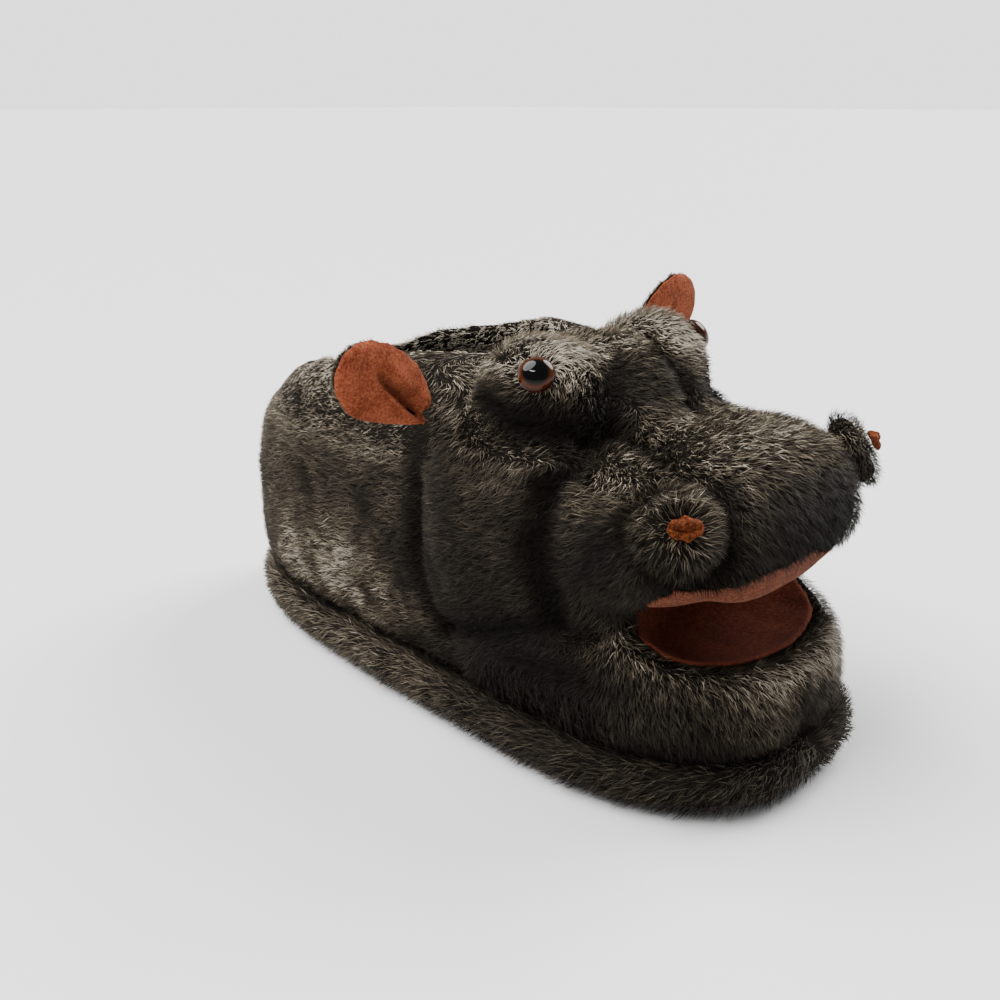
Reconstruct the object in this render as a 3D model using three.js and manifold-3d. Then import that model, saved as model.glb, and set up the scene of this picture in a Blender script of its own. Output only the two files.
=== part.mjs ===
// Animal slipper shaped as a hippopotamus head, one of a pair, in millimetres.
// The toe points along -Y, the animal's left side lies on +X and the floor is z = 0.
// Every form is a stack of closed rings, and a hollow form is the same stack set in by the wall.

import * as THREE from 'three';
import Module from 'manifold-3d';
import { mergeVertices } from 'three/addons/utils/BufferGeometryUtils.js';

const wasm = await Module();
wasm.setup();

// Sole and foot sizes
const soleLength = 306;
const ballWidth = 128;
const heelWidth = 102;
const outsoleThickness = 3;
const outsoleMargin = 6;
const outsoleBevel = 1;
const toeSpring = 3;
const bandThickness = 16;
const bandBulge = 2.5;
const bandTuck = 2.5;
const insoleThickness = 5;
const insoleEase = 0.8;
const insoleRound = 6;
const insoleDish = 0.4;
const insoleCount = 32;
const springStart = 0.9;

// Upper sizes
const wall = 7;
const gap = 0.3;
const instepHeight = 143;
const jawHeight = 58;
const edgeRoll = 28;
const collarLength = 104;
const collarWidth = 74;
const collarCentre = 40;
const collarFlare = 7;

// Head sizes
const headBack = -7;
const headLength = 96;
const headWidth = 137;
const headHeight = 149;
const muzzleTip = -153;
const muzzleLength = 77;
const muzzleWidth = 126;
const muzzleHeight = 129;
const browSpacing = 68;
const browBack = -50;
const browHeight = 134;
const browSize = { wide: 44, long: 48, tall: 43 };
const nostrilSpacing = 114;
const nostrilAlong = -126.5;
const nostrilHeight = 107.5;
const nostrilSize = 26;

// Small pieces
const eyeDiameter = 14;
const eyeRim = 1.3;
const eyeSeat = 4;
const eyeRise = 6.5;
const patchLength = 13;
const patchWidth = 9;
const patchRise = 2.4;
const slitWidth = 2.2;
const earLength = 47;
const earWidth = 34;
const earThickness = 7;
const earFold = 6;
const liningThickness = 1.8;
const mouthLength = 62;
const mouthWidth = 104;
const mouthDepth = 15;
const lipReach = 6;

// Fur locks
const lockLength = 30;
const lockWidth = 13;
const lockRise = 2;
const lockSpacing = 26;

// Places that follow from the sizes
const heelEnd = soleLength / 2;
const toeEnd = -soleLength / 2;
const bandTop = outsoleThickness + gap + bandThickness;
const seam = bandTop + gap;

const outsideCount = 34;
const insideCount = 24;

// A smooth curve through one column of a table, over its column "along"
function curveThrough(rows, column) {
  const slopeAt = (index) => {
    const before = rows[Math.max(index - 1, 0)];
    const after = rows[Math.min(index + 1, rows.length - 1)];
    return (after[column] - before[column]) / (after.along - before.along);
  };
  return (along) => {
    let index = 0;
    while (index < rows.length - 2 && along > rows[index + 1].along) {
      index += 1;
    }
    const start = rows[index];
    const end = rows[index + 1];
    const span = end.along - start.along;
    const t = Math.min(Math.max((along - start.along) / span, 0), 1);
    const rise = end[column] - start[column];
    const first = slopeAt(index) * span;
    const last = slopeAt(index + 1) * span;
    const square = 3 * rise - 2 * first - last;
    const cube = first + last - 2 * rise;
    return start[column] + first * t + square * t * t + cube * t ** 3;
  };
}

// Closed mesh over mirrored rings: the first and last ring are closed by strips across the middle
function skin(rings) {
  const count = rings[0].length;
  const half = count / 2;
  const positions = rings.flat().flatMap((point) => [point.x, point.y, point.z]);
  const faces = [];
  for (let ring = 0; ring < rings.length - 1; ring += 1) {
    const low = ring * count;
    const high = low + count;
    for (let i = 0; i < count; i += 1) {
      const next = (i + 1) % count;
      if (i < half) {
        faces.push(low + i, low + next, high + next, low + i, high + next, high + i);
      } else {
        faces.push(low + i, low + next, high + i, low + next, high + next, high + i);
      }
    }
  }
  const top = (rings.length - 1) * count;
  for (let i = 0; i < half; i += 1) {
    const corners = [i, i + 1, count - i - 1, (count - i) % count];
    if (i < half - 1) {
      faces.push(top + corners[0], top + corners[1], top + corners[2]);
      faces.push(corners[0], corners[2], corners[1]);
    }
    if (i > 0) {
      faces.push(top + corners[0], top + corners[2], top + corners[3]);
      faces.push(corners[0], corners[3], corners[2]);
    }
  }
  const geometry = new THREE.BufferGeometry();
  geometry.setAttribute('position', new THREE.Float32BufferAttribute(positions, 3));
  geometry.setIndex(faces);
  return toSolid(geometry);
}

function toSolid(source) {
  const geometry = source.clone();
  geometry.deleteAttribute('normal');
  geometry.deleteAttribute('uv');
  const merged = mergeVertices(geometry, 1e-3);
  return new wasm.Manifold(new wasm.Mesh({
    numProp: 3,
    vertProperties: new Float32Array(merged.attributes.position.array),
    triVerts: new Uint32Array(merged.index.array),
  }));
}

function toGeometry(solid) {
  const mesh = solid.getMesh();
  const geometry = new THREE.BufferGeometry();
  geometry.setAttribute('position', new THREE.BufferAttribute(mesh.vertProperties, 3));
  geometry.setIndex(new THREE.BufferAttribute(mesh.triVerts, 1));
  return geometry;
}

function joinAll(solids) {
  return solids.reduce((sum, solid) => sum.add(solid));
}

// Rounded end of an outline: 0 at the tip and 1 where the round stretch is over
function roundEnd(share, power) {
  const t = Math.min(Math.max(share, 0), 1);
  return (1 - (1 - t) ** power) ** (1 / power);
}

// Sole outline

const heelRound = { span: 0.27, power: 2 };
const toeRound = { span: 0.28, power: 2.6 };

function soleHalfWidth(along) {
  const blend = Math.min(along / (1 - toeRound.span), 1);
  return (heelWidth + (ballWidth - heelWidth) * blend) / 2;
}

function endRounding(along) {
  const heel = roundEnd(along / heelRound.span, heelRound.power);
  const toe = roundEnd((1 - along) / toeRound.span, toeRound.power);
  return heel * toe;
}

// Point i of a ring with the sole's outline, set in from it by different amounts along its length
function outlinePoint(i, count, insetAt) {
  const along = (1 - Math.cos((Math.PI * i) / (count / 2))) / 2;
  const side = i < count / 2 ? -1 : 1;
  const half = soleHalfWidth(along);
  const back = heelEnd - insetAt(0);
  const front = toeEnd + insetAt(1);
  const x = side * half * endRounding(along) * (1 - insetAt(along) / half);
  return { along, x, y: back + (front - back) * along };
}

function outlineRing(insetAt, heightAt, count = outsideCount) {
  return Array.from({ length: count }, (_, i) => {
    const { along, x, y } = outlinePoint(i, count, insetAt);
    return new THREE.Vector3(x, y, heightAt(along, y));
  });
}

// Body: heel, sides and lower jaw, over the whole sole, with lengths as shares of their named sizes

const bodyRows = [
  { along: 0.0, instep: 0.75, jaw: 0.0, roll: 1.0 },
  { along: 0.1, instep: 0.84, jaw: 0.0, roll: 1.0 },
  { along: 0.2, instep: 0.905, jaw: 0.0, roll: 0.97 },
  { along: 0.32, instep: 0.965, jaw: 0.0, roll: 0.9 },
  { along: 0.45, instep: 1.0, jaw: 0.0, roll: 0.8 },
  { along: 0.55, instep: 0.98, jaw: 0.0, roll: 0.8 },
  { along: 0.65, instep: 0.8, jaw: 0.0, roll: 0.8 },
  { along: 0.75, instep: 0.28, jaw: 0.75, roll: 0.72 },
  { along: 0.84, instep: 0.0, jaw: 1.2, roll: 0.62 },
  { along: 0.92, instep: 0.0, jaw: 1.04, roll: 0.64 },
  { along: 1.0, instep: 0.0, jaw: 0.96, roll: 0.64 },
];
const instepShare = curveThrough(bodyRows, 'instep');
const jawShare = curveThrough(bodyRows, 'jaw');
const rollShare = curveThrough(bodyRows, 'roll');
const rollAt = (along) => rollShare(along) * edgeRoll;

// Side of the body: "rise" is the share of the height, "tuck" the share of the roll that it is set in
const sideRows = [
  { rise: 0.0, tuck: 0.2 },
  { rise: 0.07, tuck: 0.06 },
  { rise: 0.2, tuck: 0.0 },
  { rise: 0.42, tuck: 0.0 },
  { rise: 0.62, tuck: 0.04 },
  { rise: 0.77, tuck: 0.14 },
  { rise: 0.88, tuck: 0.32 },
  { rise: 0.95, tuck: 0.56 },
  { rise: 0.985, tuck: 0.8 },
  { rise: 1.0, tuck: 1.1 },
];

function bodyTop(along) {
  return instepShare(along) * instepHeight + jawShare(along) * jawHeight;
}

function bodyForm(inset, foot) {
  const inside = inset >= wall;
  const rows = sideRows.filter((row, index) => !inside || index % 2 === 0 || index === sideRows.length - 1);
  const rings = rows.map(({ rise, tuck }) => outlineRing(
    (along) => inset + tuck * rollAt(along),
    (along) => seam + rise * (bodyTop(along) - inset - seam),
    inside ? insideCount : outsideCount,
  ));
  rings[0].forEach((point) => {
    point.z -= foot;
  });
  return skin(rings);
}

// Head forms: superellipse sections along -Y

const headRows = [
  { along: 0.0, wide: 0.35, low: 0.56, high: 0.72 },
  { along: 0.04, wide: 0.78, low: 0.4, high: 0.88 },
  { along: 0.12, wide: 0.93, low: 0.3, high: 0.94 },
  { along: 0.28, wide: 1.0, low: 0.27, high: 0.98 },
  { along: 0.45, wide: 1.0, low: 0.3, high: 1.0 },
  { along: 0.62, wide: 0.98, low: 0.35, high: 0.985 },
  { along: 0.78, wide: 0.93, low: 0.4, high: 0.93 },
  { along: 0.92, wide: 0.78, low: 0.5, high: 0.85 },
  { along: 1.0, wide: 0.5, low: 0.6, high: 0.76 },
];

const muzzleRows = [
  { along: 0.0, wide: 0.55, low: 0.68, high: 0.87 },
  { along: 0.06, wide: 0.84, low: 0.58, high: 0.94 },
  { along: 0.17, wide: 0.98, low: 0.505, high: 0.98 },
  { along: 0.36, wide: 1.0, low: 0.52, high: 1.0 },
  { along: 0.56, wide: 0.98, low: 0.57, high: 1.0 },
  { along: 0.73, wide: 0.9, low: 0.625, high: 0.975 },
  { along: 0.87, wide: 0.79, low: 0.655, high: 0.92 },
  { along: 0.96, wide: 0.57, low: 0.69, high: 0.86 },
  { along: 1.0, wide: 0.2, low: 0.76, high: 0.8 },
];

// Superellipse powers: the cheeks hang square underneath and the top is round
const headPowers = { under: 4, over: 2.15 };

function headCount(inset) {
  return inset < wall ? 22 : 14;
}

function sectionRing(y, halfWidth, low, high, powers, count) {
  const middle = (low + high) / 2;
  const tall = (high - low) / 2;
  return Array.from({ length: count }, (_, i) => {
    const angle = (2 * Math.PI * i) / count;
    const power = Math.cos(angle) > 0 ? powers.under : powers.over;
    const across = Math.sign(Math.sin(angle)) * Math.abs(Math.sin(angle)) ** (2 / power);
    const up = -Math.sign(Math.cos(angle)) * Math.abs(Math.cos(angle)) ** (2 / power);
    const clean = i % (count / 2) === 0 ? 0 : across;
    return new THREE.Vector3(halfWidth * clean, y, middle + tall * up);
  });
}

function sectionForm(rows, size, inset) {
  const back = size.back - inset;
  const reach = size.length - 2 * inset;
  const rings = rows.map(({ along, wide, low, high }) => sectionRing(
    back - along * reach,
    Math.max((wide * size.width) / 2 - inset, wall / 2),
    low * size.height + inset,
    Math.max(high * size.height - inset, low * size.height + inset + wall / 2),
    headPowers,
    headCount(inset),
  ));
  return skin(rings);
}

function headForm(inset) {
  const size = { back: headBack, length: headLength, width: headWidth, height: headHeight };
  return sectionForm(headRows, size, inset);
}

function muzzleForm(inset) {
  const back = muzzleTip + muzzleLength;
  const size = { back, length: muzzleLength, width: muzzleWidth, height: muzzleHeight };
  return sectionForm(muzzleRows, size, inset);
}

const browReach = new THREE.Vector3(browSize.wide, browSize.long, browSize.tall).multiplyScalar(0.5);

function ball(centre, radii, around = 14, down = 8) {
  const geometry = new THREE.SphereGeometry(1, around, down);
  geometry.scale(radii.x, radii.y, radii.z);
  geometry.translate(centre.x, centre.y, centre.z);
  return toSolid(geometry);
}

function browCentre(side) {
  return new THREE.Vector3((side * browSpacing) / 2, browBack, browHeight);
}

function browForm(side, inset) {
  return ball(browCentre(side), browReach.clone().subScalar(inset));
}

function nostrilCentre(side) {
  return new THREE.Vector3((side * nostrilSpacing) / 2, nostrilAlong, nostrilHeight);
}

function nostrilForm(side, inset) {
  const radius = nostrilSize / 2 - inset;
  return ball(nostrilCentre(side), new THREE.Vector3(radius, radius, radius), 12, 8);
}

function headForms(inset) {
  const forms = [headForm(inset), muzzleForm(inset), browForm(-1, inset), browForm(1, inset)];
  if (inset < nostrilSize / 4) {
    forms.push(nostrilForm(-1, inset), nostrilForm(1, inset));
  }
  return joinAll(forms);
}

// Mouth: a dish sunk into the lower jaw

const mouthBack = muzzleTip + muzzleLength * 0.86;

function dishForm(inset) {
  const centre = new THREE.Vector3(0, mouthBack - mouthLength / 2, jawHeight + mouthDepth * 0.6);
  const radii = new THREE.Vector3(mouthWidth / 2, mouthLength / 2, mouthDepth * 1.6).subScalar(inset);
  return ball(centre, radii, 22, 10);
}

// Collar: a hole whose edge is rounded over, at the body's own top

function collarForm() {
  const centre = collarCentre;
  const rows = [
    { drop: -5, flare: 1.0 },
    { drop: -0.3, flare: 1.0 },
    { drop: 0.4, flare: 0.45 },
    { drop: 1.4, flare: 0.0 },
    { drop: 4.2, flare: 0.2 },
  ];
  const count = 28;
  const rings = rows.map(({ drop, flare }) => Array.from({ length: count }, (_, i) => {
    const angle = Math.PI / 2 + (2 * Math.PI * i) / count;
    const x = (collarWidth / 2 + flare * collarFlare) * Math.cos(angle) * (i % (count / 2) === 0 ? 0 : 1);
    const y = centre + (collarLength / 2 + flare * collarFlare) * Math.sin(angle);
    return new THREE.Vector3(x, y, bodyTop((heelEnd - y) / soleLength) - drop * collarFlare);
  }));
  return skin(rings.reverse());
}

// Seam of the chin and hollow between the brows, as shares of the sole's half length and the head's height
const dentRows = [
  { along: -1.02, up: 0.26, wide: 0.02, long: 0.04, tall: 0.115 },
  { along: -0.5, up: 1.03, wide: 0.054, long: 0.27, tall: 0.06 },
];

function dentForms() {
  return joinAll(dentRows.map(({ along, up, wide, long, tall }) => ball(
    new THREE.Vector3(0, along * heelEnd, up * headHeight),
    new THREE.Vector3(wide, long, tall).multiplyScalar(headHeight),
    12,
  )));
}

// Places of the small pieces on the head

function eyePlace(side) {
  const outward = new THREE.Vector3(side * 0.7, -0.48, 0.58).normalize();
  return { outward, centre: browCentre(side).add(browReach.clone().multiply(outward)) };
}

function nostrilPlace(side) {
  const outward = new THREE.Vector3(side * 0.46, -0.7, 0.54).normalize();
  return { outward, centre: nostrilCentre(side).addScaledVector(outward, nostrilSize / 2) };
}

function earPlace(side) {
  const out = (side * headWidth * 0.9) / 2;
  const root = new THREE.Vector3(out, headBack - headLength * 0.14, headHeight * 0.86);
  const axis = new THREE.Vector3(side * 0.82, 0.0, 0.57).normalize();
  const front = new THREE.Vector3(side * 0.22, -0.96, 0.1);
  front.addScaledVector(axis, -front.dot(axis)).normalize();
  const across = new THREE.Vector3().crossVectors(front, axis).multiplyScalar(side);
  return { root, axis, front, across };
}

// Fur locks fused onto a plush form, laid along the pile

function seededRandom(seed) {
  let state = seed;
  return () => {
    state = (state * 1664525 + 1013904223) % 4294967296;
    return state / 4294967296;
  };
}

function tangentFlow(flow, normal) {
  return flow.clone().addScaledVector(normal, -flow.dot(normal));
}

function lockForm(point, normal, flow, size) {
  const lie = tangentFlow(flow, normal).normalize();
  const side = new THREE.Vector3().crossVectors(normal, lie);
  const at = (along, across, up) => point.clone()
    .addScaledVector(lie, along * lockLength * size)
    .addScaledVector(side, across * lockWidth * size)
    .addScaledVector(normal, up * lockRise * size);
  const belt = [at(0, -0.5, -0.6), at(0.1, 0, 0.7), at(0, 0.5, -0.6), at(0, 0, -1.8)];
  const positions = [at(-0.45, 0, -1), ...belt, at(0.55, 0, 0.1)].flatMap(({ x, y, z }) => [x, y, z]);
  const faces = [];
  for (let i = 0; i < 4; i += 1) {
    const here = 1 + i;
    const next = 1 + ((i + 1) % 4);
    faces.push(0, here, next, 5, next, here);
  }
  const geometry = new THREE.BufferGeometry();
  geometry.setAttribute('position', new THREE.Float32BufferAttribute(positions, 3));
  geometry.setIndex(faces);
  return toSolid(geometry);
}

function surfaceSamples(solid, spacing, seed) {
  const mesh = solid.getMesh();
  const random = seededRandom(seed);
  const corner = (index) => new THREE.Vector3().fromArray(mesh.vertProperties, 3 * mesh.triVerts[index]);
  const samples = [];
  for (let face = 0; face < mesh.triVerts.length; face += 3) {
    const triangle = new THREE.Triangle(corner(face), corner(face + 1), corner(face + 2));
    const wanted = triangle.getArea() / (spacing * spacing);
    const copies = Math.floor(wanted) + (random() < wanted % 1 ? 1 : 0);
    for (let copy = 0; copy < copies; copy += 1) {
      const root = Math.sqrt(random());
      const share = random();
      const point = triangle.a.clone().multiplyScalar(1 - root)
        .addScaledVector(triangle.b, root * (1 - share))
        .addScaledVector(triangle.c, root * share);
      samples.push({ point, normal: triangle.getNormal(new THREE.Vector3()), size: 0.8 + 0.4 * random() });
    }
  }
  return samples;
}

// Direction of the pile: backward along the body and cheeks, outward from the nostrils, down the jaw
function pileFlow(point) {
  const away = point.clone().sub(nostrilCentre(Math.sign(point.x)));
  const near = Math.exp(-away.lengthSq() / nostrilSize ** 2);
  const flow = new THREE.Vector3(point.x / ballWidth, 1, -0.35);
  return flow.multiplyScalar(1 - near).addScaledVector(away.normalize(), near);
}

// Around an outline, level and backward from the toe
function roundFlow(normal) {
  const flow = new THREE.Vector3(-normal.y, normal.x, 0);
  return flow.y < 0 ? flow.negate() : flow;
}

function bareOfFur(point) {
  const side = Math.sign(point.x) || 1;
  const bare = [
    { centre: eyePlace(side).centre, radius: eyeDiameter },
    { centre: nostrilPlace(side).centre, radius: patchLength },
    { centre: earPlace(side).root, radius: earWidth * 0.75 },
    { centre: browCentre(side), radius: browSize.long * 0.75 },
  ];
  const inMouth = point.y < mouthBack + lockLength
    && point.z > jawHeight * 0.72
    && point.z < muzzleHeight * 0.8;
  const inCollar = Math.hypot(point.x / collarWidth, (point.y - collarCentre) / collarLength) < 0.62
    && point.z > instepHeight / 2;
  return inMouth || inCollar || point.z < seam + lockWidth
    || bare.some(({ centre, radius }) => centre.distanceTo(point) < radius);
}

// Locks are drawn for the right half and repeated on the left, clear of the middle
function withLocks(solid, seed, allowed, flowAt) {
  const samples = surfaceSamples(solid, lockSpacing, seed)
    .filter(({ point }) => point.x < -lockWidth && allowed(point));
  const locks = [];
  for (const { point, normal, size } of samples) {
    for (const side of [1, -1]) {
      const mirror = new THREE.Vector3(side, 1, 1);
      const at = point.clone().multiply(mirror);
      const facing = normal.clone().multiply(mirror);
      const flow = flowAt(at, facing);
      if (tangentFlow(flow, facing).length() > 0.7) {
        locks.push(lockForm(at, facing, flow, size));
      }
    }
  }
  return joinAll([solid, ...locks]);
}

// Pieces

function upperSolid() {
  const plain = bodyForm(0, 0).subtract(dishForm(0)).add(headForms(0)).subtract(dentForms());
  const outer = withLocks(plain, 7, (point) => !bareOfFur(point), pileFlow);
  const cavity = bodyForm(wall, 2 * wall).subtract(dishForm(-wall)).add(headForms(wall));
  return outer.subtract(cavity).subtract(collarForm());
}

function outsoleSolid() {
  const lift = (along) => toeSpring * Math.max((along - springStart) / (1 - springStart), 0) ** 2;
  return skin([
    outlineRing(() => outsoleMargin + outsoleBevel, lift),
    outlineRing(() => outsoleMargin, (along) => Math.max(lift(along), outsoleBevel)),
    outlineRing(() => outsoleMargin, () => outsoleThickness),
  ]);
}

function bandSolid() {
  const bottom = outsoleThickness + gap;
  const rows = [
    { rise: 0.0, out: -bandTuck },
    { rise: 0.1, out: 0 },
    { rise: 0.35, out: bandBulge * 0.8 },
    { rise: 0.6, out: bandBulge },
    { rise: 0.85, out: bandBulge * 0.4 },
    { rise: 1.0, out: -bandTuck },
  ];
  const rings = rows.map(({ rise, out }) => outlineRing(() => -out, () => bottom + rise * bandThickness));
  const allowed = (point) => Math.abs(point.z - bottom - bandThickness / 2) < bandThickness / 5;
  return withLocks(skin(rings), 5, allowed, (point, normal) => roundFlow(normal));
}

function insoleSolid() {
  const inset = (along) => wall + sideRows[0].tuck * rollAt(along) + insoleEase;
  const bottom = bandTop + gap;
  const hollow = (along) => Math.sin(Math.PI * along) ** 2;
  const dished = (depth) => (along) => bottom + insoleThickness * (1 - depth * hollow(along));
  const rings = [
    outlineRing(inset, () => bottom, insoleCount),
    outlineRing(inset, dished(0), insoleCount),
    outlineRing((along) => inset(along) + insoleRound, dished(insoleDish), insoleCount),
  ];
  return skin(rings);
}

// Felt in the mouth: the floor lies in the jaw's dish, the palate under the muzzle

function mouthLiningSolid() {
  const shell = dishForm(gap).subtract(dishForm(gap + liningThickness));
  const cover = bodyForm(liningThickness, 0);
  return shell.intersect(cover).subtract(headForms(-2 * gap - liningThickness));
}

function palateSolid() {
  const sheet = muzzleForm(-gap - liningThickness).subtract(headForms(-gap));
  const reach = mouthBack - muzzleTip + lipReach;
  const rows = [
    { along: 0.0, wide: 0.72, top: 0.56 },
    { along: 0.45, wide: 0.72, top: 0.6 },
    { along: 0.75, wide: 0.72, top: 0.655 },
    { along: 1.0, wide: 0.72, top: 0.72 },
  ];
  const region = skin(rows.map(({ along, wide, top }) => sectionRing(
    mouthBack - along * reach,
    (wide * muzzleWidth) / 2,
    seam,
    top * muzzleHeight,
    { under: 6, over: 6 },
    20,
  )));
  return sheet.intersect(region).subtract(bodyForm(-gap, 0).subtract(dishForm(gap)));
}

// Ears: two leaves with a fold along the middle, pinched at the root

const earRows = [
  { along: -0.3, wide: 0.24, fold: 0.4 },
  { along: 0.0, wide: 0.38, fold: 0.6 },
  { along: 0.16, wide: 0.68, fold: 0.8 },
  { along: 0.34, wide: 0.94, fold: 0.65 },
  { along: 0.54, wide: 1.0, fold: 0.25 },
  { along: 0.74, wide: 0.95, fold: 0.05 },
  { along: 0.9, wide: 0.7, fold: 0.0 },
  { along: 0.975, wide: 0.38, fold: 0.0 },
  { along: 1.0, wide: 0.1, fold: 0.0 },
];

// One leaf between two faces, given as distances in front of the ear's middle surface
function earLeaf(side, frontFace, backFace) {
  const { root, axis, front, across } = earPlace(side);
  const steps = 8;
  const rings = earRows.map(({ along, wide, fold }) => {
    const pointAt = (k, face) => {
      const v = (2 * k) / steps - 1;
      const round = Math.sqrt(Math.max(1 - v * v, 0)) * Math.min(1, wide * 1.4);
      const crease = -fold * earFold * Math.exp(-((v / 0.35) ** 2));
      return root.clone()
        .addScaledVector(axis, along * earLength)
        .addScaledVector(across, (v * wide * earWidth) / 2)
        .addScaledVector(front, crease + face.edge + face.bulge * round);
    };
    const frontPoints = Array.from({ length: steps + 1 }, (_, k) => pointAt(k, frontFace));
    const backPoints = Array.from({ length: steps + 1 }, (_, k) => pointAt(steps - k, backFace));
    return [...frontPoints, ...backPoints];
  });
  const solid = skin(side < 0 ? rings : rings.map((ring) => [...ring].reverse()));
  return solid.subtract(headForms(-gap)).subtract(bodyForm(-gap, 0));
}

function earLiningSolid(side) {
  const half = earThickness / 2;
  return earLeaf(side, { edge: gap / 2 + half * 0.25, bulge: half * 0.75 }, { edge: gap / 2, bulge: 0 });
}

function earBackSolid(side) {
  const half = earThickness / 2;
  return earLeaf(side, { edge: -gap / 2, bulge: 0 }, { edge: -gap / 2 - half * 0.25, bulge: -half * 0.75 });
}

// A turned form standing on a place of the head
function standOn({ outward, centre }, geometry, sink) {
  const level = new THREE.Vector3(0, 0, 1).cross(outward).normalize();
  geometry.applyMatrix4(new THREE.Matrix4().makeBasis(level, outward, level.clone().cross(outward)));
  const foot = centre.clone().addScaledVector(outward, -sink);
  geometry.translate(foot.x, foot.y, foot.z);
  return toSolid(geometry);
}

function eyeSolid(side) {
  const radius = eyeDiameter / 2;
  const dome = radius - eyeRim;
  const profile = [new THREE.Vector2(0, 0), new THREE.Vector2(radius, 0), new THREE.Vector2(radius, eyeSeat)];
  profile.push(new THREE.Vector2(dome, eyeSeat + eyeRim));
  const steps = 5;
  for (let i = 1; i <= steps; i += 1) {
    const angle = (Math.PI / 2) * (i / steps);
    profile.push(new THREE.Vector2(
      i === steps ? 0 : dome * Math.cos(angle),
      eyeSeat + eyeRim + (eyeRise - eyeRim) * Math.sin(angle),
    ));
  }
  const solid = standOn(eyePlace(side), new THREE.LatheGeometry(profile, 14), eyeSeat);
  return solid.subtract(headForms(-gap));
}

function nostrilSolid(side) {
  const place = nostrilPlace(side);
  const patch = new THREE.SphereGeometry(1, 12, 6);
  patch.scale(patchLength / 2, patchRise, patchWidth / 2);
  const slit = new THREE.SphereGeometry(1, 8, 4);
  slit.scale(patchLength / 3, patchRise, slitWidth / 2);
  return standOn(place, patch, 0)
    .subtract(standOn(place, slit, -patchRise * 1.4))
    .subtract(headForms(-gap));
}

const group = new THREE.Group();

function addPiece(name, solid, color, roughness = 0.95) {
  const material = new THREE.MeshStandardMaterial({ color, roughness, metalness: 0 });
  const mesh = new THREE.Mesh(toGeometry(solid), material);
  mesh.name = name;
  group.add(mesh);
}

const plush = 0x3f382e;
const velvet = 0x9c4322;
const felt = 0x5e2a20;

addPiece('outsole', outsoleSolid(), 0x2a2624);
addPiece('sole_band', bandSolid(), plush);
addPiece('insole', insoleSolid(), plush);
addPiece('upper', upperSolid(), plush);
addPiece('mouth_lining', mouthLiningSolid(), felt);
addPiece('palate_lining', palateSolid(), velvet);
for (const [name, side] of [['left', 1], ['right', -1]]) {
  addPiece(`ear_back_${name}`, earBackSolid(side), plush);
  addPiece(`ear_lining_${name}`, earLiningSolid(side), velvet);
  addPiece(`eye_${name}`, eyeSolid(side), 0x0b0908, 0.08);
  addPiece(`nostril_${name}`, nostrilSolid(side), velvet);
}

export default group;
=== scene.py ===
import bpy
import math
import numpy as np
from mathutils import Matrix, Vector, kdtree
from mathutils.bvhtree import BVHTree


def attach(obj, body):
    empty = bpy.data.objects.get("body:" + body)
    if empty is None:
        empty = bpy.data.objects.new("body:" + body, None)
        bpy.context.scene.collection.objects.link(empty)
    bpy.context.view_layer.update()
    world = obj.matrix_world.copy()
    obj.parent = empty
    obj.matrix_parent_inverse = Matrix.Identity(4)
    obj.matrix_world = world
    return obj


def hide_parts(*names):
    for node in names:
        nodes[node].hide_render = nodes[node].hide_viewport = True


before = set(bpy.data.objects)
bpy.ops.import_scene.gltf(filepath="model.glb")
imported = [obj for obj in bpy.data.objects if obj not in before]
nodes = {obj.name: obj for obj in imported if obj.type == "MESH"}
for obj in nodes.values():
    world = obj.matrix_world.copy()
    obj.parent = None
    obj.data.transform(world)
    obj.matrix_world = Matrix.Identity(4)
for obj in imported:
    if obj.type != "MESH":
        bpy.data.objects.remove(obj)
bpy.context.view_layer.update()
mm = 0.001

# Places on the slipper, in mm: the toe points along -Y and the animal's left side lies on +X
slipper = {
    "collarCentre": 40, "collarLength": 104, "collarWidth": 74,
    "cheekBack": -8, "cheekBottom": 42, "muzzleBack": -84, "mouthLine": 60,
    "eye": (48.5, -61, 146), "eyeOut": (0.7, -0.48, 0.58),
    "nostril": (57, -126.5, 107.5), "nostrilOut": (0.46, -0.7, 0.54),
    "earRoot": (61.7, -20.4, 128.1), "earAxis": (0.82, 0.0, 0.57), "earFront": (0.22, -0.96, 0.1),
}


# Camera at the photograph's place, and a pale studio
studio = {
    "eyePoint": (-0.329, -0.307, 0.236), "heading": 46.8, "pitch": 20.0, "lens": 39.6,
    "floorSize": 60, "floorColour": (0.62, 0.62, 0.62),
    "airStrength": 0.45, "horizonStrength": 2.1, "horizonBand": (0.08, 0.22),
    "backSun": {"from": (-0.35, 0.6, 1.1), "strength": 8.0, "spread": 50},
    "rightSun": {"from": (0.9, -0.15, 0.75), "strength": 6.0, "spread": 40},
    "faceSoftbox": {"from": (-0.55, -0.1, 0.75), "aim": (-0.03, -0.05, 0.12),
                    "size": (0.30, 0.04), "power": 3.0},
}


def deselectAll():
    bpy.ops.object.select_all(action="DESELECT")


def activate(piece):
    deselectAll()
    piece.select_set(True)
    bpy.context.view_layer.objects.active = piece


def setUpCamera():
    heading, pitch = math.radians(studio["heading"]), math.radians(studio["pitch"])
    bpy.ops.object.camera_add(location=studio["eyePoint"])
    camera = bpy.context.object
    level = math.cos(pitch)
    ahead = Vector((math.sin(heading) * level, math.cos(heading) * level, -math.sin(pitch)))
    camera.rotation_euler = ahead.to_track_quat("-Z", "Y").to_euler()
    camera.data.lens = studio["lens"]
    camera.data.sensor_width = 36
    camera.data.clip_start = 0.01
    bpy.context.scene.camera = camera


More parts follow.
